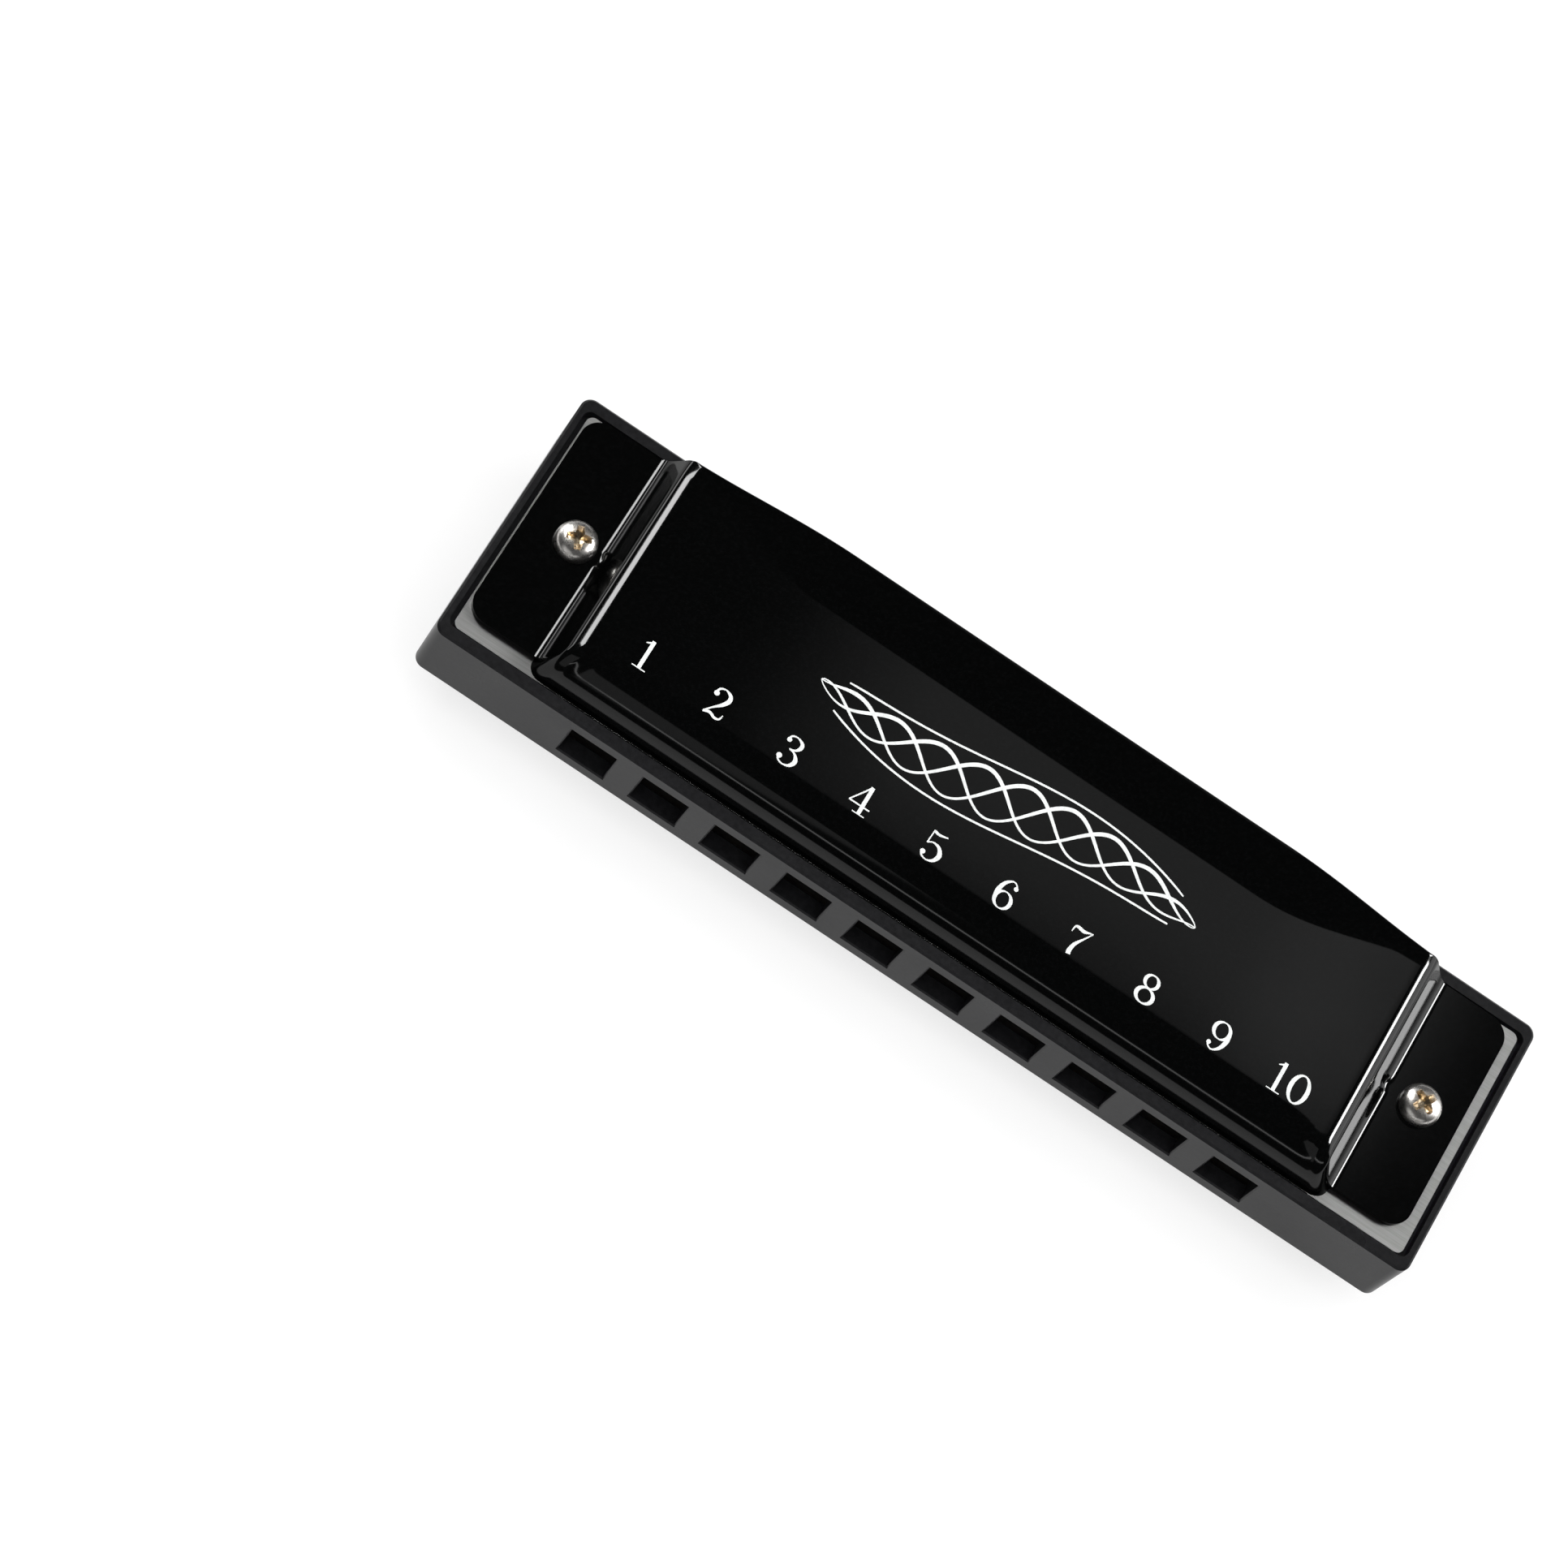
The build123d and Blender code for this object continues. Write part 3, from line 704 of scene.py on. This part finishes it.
def hole_numbers():
    """Numbers 1 to 10, one in front of each hole."""
    middle = middle_x("comb")
    pitch = (middle_x(f"blow_reed_{HOLES}") - middle_x("blow_reed_1")) / (HOLES - 1)
    advance = FIGURE_HEIGHT * FIGURE_WIDTH
    mesh = bmesh.new()
    for n in range(1, HOLES + 1):
        text = str(n)
        hole_x = middle + (n - (HOLES + 1) / 2) * pitch
        start = hole_x + NUMBER_SHIFT - advance * len(text) / 2
        for k, figure in enumerate(text):
            add_print(mesh, place_figure(figure, start + k * advance * FIGURE_STEP), LEVEL_TOP)
    finish_mesh(mesh, "hole_numbers", INK, PRINT_SHARP)


BRAID_START = -20.4
BRAID_LENGTH = 39.4
BRAID_POINTS = 241
BRAID_Y = 1.3               # middle of the spine
BRAID_WAVE = 1.0            # how far the spine waves either side of it
BRAID_HALF = 2.3            # reach of a strand from the spine
BRAID_SWELL = 0.55          # lower is blunter at the two tips
STRANDS = 3
STRAND_WAVES = 3
TAPER = 12                  # strokes reach full width a twelfth of the way in
STRAND_TIP = 0.045          # half width of a strand at its tips
STRAND_BODY = 0.06          # added away from the tips
STRAND_SWELL = 0.09         # and added where the strand lies furthest back
BORDER_GAP = 0.55           # the border lines follow the spine at this distance at the tips
BORDER_SWELL = 2.55         # and so much further out in the middle
BORDER_TIP = 0.03
BORDER_HALF = 0.07
BORDER_CUT = 14             # points left off each end of a border line


def braid_ornament():
    """Plain three-strand braid of fine lines, drawn along a gently waved spine."""
    mesh = bmesh.new()
    shapes = []
    run = np.linspace(0, 1, BRAID_POINTS)
    swell = np.sin(np.pi * run) ** BRAID_SWELL
    x = BRAID_START + BRAID_LENGTH * run
    spine = BRAID_Y - BRAID_WAVE * np.sin(2 * np.pi * run)
    taper = np.minimum(1, np.minimum(run, 1 - run) * TAPER)
    for strand in range(STRANDS):
        phase = 2 * np.pi * (STRAND_WAVES * run + strand / STRANDS)
        y = spine + BRAID_HALF * swell * np.sin(phase)
        half = STRAND_TIP + taper * (STRAND_BODY + STRAND_SWELL * (0.5 + 0.5 * np.sin(phase)))
        shapes += stroke_quads(np.stack([x, y, half], axis=1))
    for side in (-1, 1):
        y = spine + side * (BORDER_GAP + BORDER_SWELL * swell)
        half = BORDER_TIP + BORDER_HALF * taper
        line = np.stack([x, y, half], axis=1)
        shapes += stroke_quads(line[BORDER_CUT:-BORDER_CUT])
    add_print(mesh, shapes, LEVEL_TOP)
    finish_mesh(mesh, "braid_ornament", INK, PRINT_SHARP)


hole_numbers()
braid_ornament()


# ---------------------------------------------------------------- cover bolts

BOLT_HEAD_BASE = PLATE_TOP + SHEET
BOLT_HEAD_R = 2.0
BOLT_HEAD = 1.5             # height of the head
BOLT_HEAD_TOP = BOLT_HEAD_BASE + BOLT_HEAD
# Outline of a head from its crown to the plain shank below it, as (radius, height).
HEAD_LINE = (
    (0.0, 1.50), (0.5, 1.49), (0.95, 1.44), (1.3, 1.34), (1.58, 1.18), (1.78, 0.98), (1.91, 0.74),
    (1.98, 0.48), (2.0, 0.24), (1.99, 0.09), (1.93, 0.02), (1.86, 0.0), (1.05, 0.0),
)
BOLT_R = 1.0
PLAIN_SHANK = 1.0           # shank under the head without thread
THREAD_PITCH = 0.4
THREAD_DEPTH = 0.09
# One turn of thread going down, as (depth into the shank, drop).
THREAD_LINE = ((0, 0.08), (THREAD_DEPTH, 0.2), (0, 0.32))
THREAD_STOP = 0.3           # shank left without thread at the tip
TIP_BEVEL = 0.2
BOLT_SIDES = 64
BOLT_SHARP = 32
CROSS_RISE = 0.4            # the cutter stands this far above the head
CROSS_DEPTH = 0.95
# Levels of the cutter from the top down, as (height, reach of an arm, half its width).
CROSS_LEVELS = (
    (BOLT_HEAD_TOP + CROSS_RISE, 1.45, 0.34),
    (BOLT_HEAD_TOP - CROSS_DEPTH + 0.25, 0.85, 0.24),
    (BOLT_HEAD_TOP - CROSS_DEPTH, 0.30, 0.16),
)
CROSS_WEB = 1.35            # the corners between the arms, out from half an arm's width
CROSS_TURNS = (0.35, 1.0)   # how far the left and right cross are turned, in radians
WORN_ABOVE = 0.3            # plating wears only from this high up the head
WORN_REACH = 1.35           # radius out to which the cross's walls are worn
WORN_SKIN = 0.22            # depth below the crown where that starts
WORN_GROWTH = 4.0           # and how fast it grows with depth
WORN_MIDDLE = 1.15          # wear on the crown fades out towards this radius


def worn_nickel():
    """Nickel over brass: the plating has worn away in and round the driver cross."""
    mat, tree, shader = new_material("bolt_nickel_over_brass")
    shader.inputs["Metallic"].default_value = 1.0
    scratch = noise(tree, scale=3.0, detail=5, rough=0.75)
    nickel = ramp(tree, scratch, (0.56, 0.54, 0.51, 1), (0.86, 0.84, 0.81, 1))
    brass = ramp(tree, scratch, (0.40, 0.31, 0.20, 1), (0.80, 0.67, 0.48, 1))
    worn = tree.nodes.new("ShaderNodeAttribute")
    worn.attribute_name = "wear"
    blend = tree.nodes.new("ShaderNodeMix")
    blend.data_type = "RGBA"
    tree.links.new(worn.outputs["Fac"], blend.inputs["Factor"])
    tree.links.new(nickel, blend.inputs[COLOUR_A])
    tree.links.new(brass, blend.inputs[COLOUR_B])
    tree.links.new(blend.outputs[COLOUR_OUT], shader.inputs["Base Color"])
    tree.links.new(ramp(tree, scratch, 0.36, 0.22), shader.inputs["Roughness"])
    bump(tree, shader, scratch, depth=0.01, strength=0.3)
    return mat


def bolt_profile(tip):
    """Outline of a bolt from its crown down to its tip, as (radius, height)."""
    line = [(r, BOLT_HEAD_BASE + h) for r, h in HEAD_LINE]
    z = BOLT_HEAD_BASE - PLAIN_SHANK
    line.append((BOLT_R, z))
    while z - THREAD_PITCH > tip + THREAD_STOP:
        line += [(BOLT_R - depth, z - drop) for depth, drop in THREAD_LINE]
        z -= THREAD_PITCH
    return line + [(BOLT_R, tip + TIP_BEVEL), (BOLT_R - TIP_BEVEL, tip), (0.0, tip)]


def lathe(mesh, profile, x, y):
    """Turns a profile into a closed solid about an upright axis."""
    turn = np.linspace(0, 2 * math.pi, BOLT_SIDES, endpoint=False)
    loops = []
    for r, z in profile:
        round_axis = [(x + r * math.cos(a), y + r * math.sin(a)) for a in turn] if r else [(x, y)]
        loops.append([mesh.verts.new((px * MM, py * MM, z * MM)) for px, py in round_axis])
    for upper, lower in zip(loops, loops[1:]):
        for k in range(BOLT_SIDES):
            ends = k, (k + 1) % BOLT_SIDES
            corners = [upper[e % len(upper)] for e in ends]
            corners += [lower[e % len(lower)] for e in reversed(ends)]
            mesh.faces.new(list(dict.fromkeys(corners)))


def cross_cutter(mesh, x, y, turn):
    """Tapered driver cross to be cut out of a bolt head."""
    layers = []
    for z, reach, half in CROSS_LEVELS:
        web = half * CROSS_WEB
        layer = []
        for k in range(4):
            a = turn + k * math.pi / 2
            for along, across in ((reach, -half), (reach, half), (web, web)):
                px = x + along * math.cos(a) - across * math.sin(a)
                py = y + along * math.sin(a) + across * math.cos(a)
                layer.append(mesh.verts.new((px * MM, py * MM, z * MM)))
        layers.append(layer)
    for upper, lower in zip(layers, layers[1:]):
        for k in range(len(upper)):
            n = (k + 1) % len(upper)
            mesh.faces.new((upper[k], lower[k], lower[n], upper[n]))
    mesh.faces.new(layers[0])
    mesh.faces.new(list(reversed(layers[-1])))


def plain_object(mesh, name):
    """Temporary object used while one shape is cut from another."""
    bmesh.ops.recalc_face_normals(mesh, faces=mesh.faces)
    data = bpy.data.meshes.new(name)
    mesh.to_mesh(data)
    mesh.free()
    piece = bpy.data.objects.new(name, data)
    bpy.context.scene.collection.objects.link(piece)
    return piece


def wear_at(r, z):
    """How far the plating has worn away, from 0 to 1, at a radius and height on a bolt."""
    if z <= BOLT_HEAD_BASE + WORN_ABOVE:
        return 0.0
    deep = BOLT_HEAD_TOP - WORN_SKIN - z if r < WORN_REACH else -1.0
    return float(np.clip(max(deep * WORN_GROWTH, WORN_MIDDLE - r), 0, 1))


def cover_bolts():
    """The two cover bolts with rounded heads, driver crosses and threads."""
    low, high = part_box("cover_bolts")
    half = (high.x - low.x) / 2 / MM - BOLT_HEAD_R
    middle = middle_x("cover_bolts")
    y = (high.y + low.y) / 2 / MM
    body, cutter = bmesh.new(), bmesh.new()
    for side, turn in zip((-1, 1), CROSS_TURNS):
        lathe(body, bolt_profile(low.z / MM), middle + side * half, y)
        cross_cutter(cutter, middle + side * half, y, turn)
    solid = plain_object(body, "bolt_blank")
    tool = plain_object(cutter, "cross_tool")
    cut = solid.modifiers.new("cross", "BOOLEAN")
    cut.object = tool
    cut.operation = "DIFFERENCE"
    cut.solver = "EXACT"
    view = bpy.context.evaluated_depsgraph_get()
    done = bpy.data.meshes.new_from_object(solid.evaluated_get(view))
    bpy.data.objects.remove(solid)
    bpy.data.objects.remove(tool)
    mesh = bmesh.new()
    mesh.from_mesh(done)
    bpy.data.meshes.remove(done)
    wear = mesh.verts.layers.float.new("wear")
    for v in mesh.verts:
        r = math.hypot(abs(v.co.x / MM - middle) - half, v.co.y / MM - y)
        v[wear] = wear_at(r, v.co.z / MM)
    finish_mesh(
        mesh, "cover_bolt_pair", worn_nickel(), BOLT_SHARP, "cover_bolts"
    )


cover_bolts()


# ---------------------------------------------------------------- floor, light and camera

def stage_material():
    """Plain near-white studio paper, a little lit from within."""
    mat, tree, shader = new_material("studio_paper")
    shader.inputs["Roughness"].default_value = 0.9
    fleck = noise(tree, scale=0.05, detail=2)
    tone = ramp(tree, fleck, (0.26, 0.26, 0.26, 1), (0.28, 0.28, 0.28, 1))
    tree.links.new(tone, shader.inputs["Base Color"])
    shader.inputs["Emission Color"].default_value = (1, 1, 1, 1)
    shader.inputs["Emission Strength"].default_value = 0.72
    return mat


FLOOR_RADIUS = 1.6
WALL_HEIGHT = 3.0
WALL_SIDES = 64
PAPER = stage_material()


def stage_piece(name, points, faces):
    """Part of the studio round the instrument."""
    data = bpy.data.meshes.new(name)
    data.from_pydata(points, [], faces)
    data.materials.append(PAPER)
    piece = bpy.data.objects.new(name, data)
    bpy.context.scene.collection.objects.link(piece)
    return piece


def studio():
    """Round floor, and a backdrop that only fills the picture behind low views."""
    around = [2 * math.pi * k / WALL_SIDES for k in range(WALL_SIDES)]
    foot = [(FLOOR_RADIUS * math.cos(a), FLOOR_RADIUS * math.sin(a), 0) for a in around]
    stage_piece("studio_floor", foot, [list(range(WALL_SIDES))])
    top = [(x, y, WALL_HEIGHT) for x, y, _ in foot]
    turns = [(k, (k + 1) % WALL_SIDES) for k in range(WALL_SIDES)]
    panels = [(a, b, b + WALL_SIDES, a + WALL_SIDES) for a, b in turns]
    backdrop = stage_piece("studio_backdrop", foot + top, panels)
    backdrop.visible_diffuse = False
    backdrop.visible_glossy = False
    backdrop.visible_shadow = False


studio()


# Name, direction, width, height in metres and radiance of each light that makes a reflection.
SOFTBOXES = (
    ("right_back_box", (0.66, 0.43, 0.62), 0.24, 0.20, 48),
    ("left_back_box", (-0.60, 0.436, 0.67), 0.16, 0.55, 26),
    ("right_low_box", (0.86, 0.43, 0.25), 0.50, 0.42, 2.5),
    ("front_left_box", (-0.28, -0.80, 0.53), 0.62, 0.60, 0.5),
    ("front_right_strip", (0.40, -0.84, 0.40), 0.80, 0.05, 3),
    ("left_low_strip", (-0.88, 0.43, 0.18), 0.50, 0.10, 6),
)
BOX_DISTANCE = 0.9
FILL_DIRECTION = (0, -0.1, 1)
FILL_DISTANCE = 1.1
FILL_SIZE = 1.8
FILL_RADIANCE = 2.8
PANEL_LEFT = 0.026          # edges of the panels behind the instrument
PANEL_RIGHT = 0.20
PANEL_FRONT = 0.348
PANEL_BACK = 0.80
PANEL_HEIGHT = 0.79
PANEL_RADIANCE = 0.125
PANEL_LAYERS = 5            # stacked so that the reflection fades in at its left and front
PANEL_STEP = 0.009          # each layer is so much smaller there, and so much higher


def softbox(name, direction, distance, width, height, radiance, fill=False):
    """Rectangular light facing the instrument; it makes either the reflections or the fill."""
    away = Vector(direction).normalized()
    data = bpy.data.lights.new(name, "AREA")
    data.shape = "RECTANGLE"
    data.size = width
    data.size_y = height
    data.energy = radiance * width * height * math.pi
    light = bpy.data.objects.new(name, data)
    light.location = away * distance
    light.rotation_euler = away.to_track_quat("Z", "Y").to_euler()
    light.visible_glossy = not fill
    light.visible_diffuse = fill
    bpy.context.scene.collection.objects.link(light)
    return light


def high_panel(name, low_x, high_x, low_y, high_y, height, radiance):
    """Level panel high behind the instrument, mirrored by the level top of the cover."""
    light = softbox(name, (0, 0, 1), height, high_x - low_x, high_y - low_y, radiance)
    light.location = ((low_x + high_x) / 2, (low_y + high_y) / 2, height)
    light.rotation_euler = (0, 0, 0)


for name, direction, width, height, radiance in SOFTBOXES:
    softbox(name, direction, BOX_DISTANCE, width, height, radiance)
softbox(
    "overhead_fill", FILL_DIRECTION, FILL_DISTANCE, FILL_SIZE, FILL_SIZE, FILL_RADIANCE, fill=True
)
for layer in range(PANEL_LAYERS):
    edge = PANEL_STEP * layer
    high_panel(
        f"high_back_{layer}", PANEL_LEFT + edge, PANEL_RIGHT, PANEL_FRONT + edge, PANEL_BACK,
        PANEL_HEIGHT + edge, PANEL_RADIANCE,
    )
high_panel(
    "high_end_panel", low_x=0.165, high_x=PANEL_RIGHT, low_y=0.37, high_y=0.60,
    height=0.84, radiance=0.35,
)

world = bpy.data.worlds.new("studio_air")
world.use_nodes = True
world.node_tree.nodes["Background"].inputs["Color"].default_value = (1, 1, 1, 1)
world.node_tree.nodes["Background"].inputs["Strength"].default_value = 0.04
bpy.context.scene.world = world
bpy.context.scene.view_settings.view_transform = "Standard"

LENS = 142.745              # millimetres
SENSOR = 36
AZIMUTH = -9.289            # degrees round from straight in front
ELEVATION = 64.642
ROLL = 42.07                # the instrument runs down to the right in the picture
TARGET = Vector((-18.07, -7.41, 14.2)) * MM
DISTANCE = 541.75 * MM

camera_data = bpy.data.cameras.new("product_camera")
camera_data.lens = LENS
camera_data.sensor_width = SENSOR
camera_data.clip_start = 10 * MM
camera = bpy.data.objects.new("product_camera", camera_data)
turn = math.radians(AZIMUTH)
rise = math.radians(ELEVATION)
back = Vector((math.sin(turn) * math.cos(rise), -math.cos(turn) * math.cos(rise), math.sin(rise)))
level = back.to_track_quat("Z", "Y").to_matrix().to_4x4()
roll = Matrix.Rotation(math.radians(ROLL), 4, "Z")
camera.matrix_world = Matrix.Translation(TARGET + back * DISTANCE) @ level @ roll
bpy.context.scene.collection.objects.link(camera)
bpy.context.scene.camera = camera
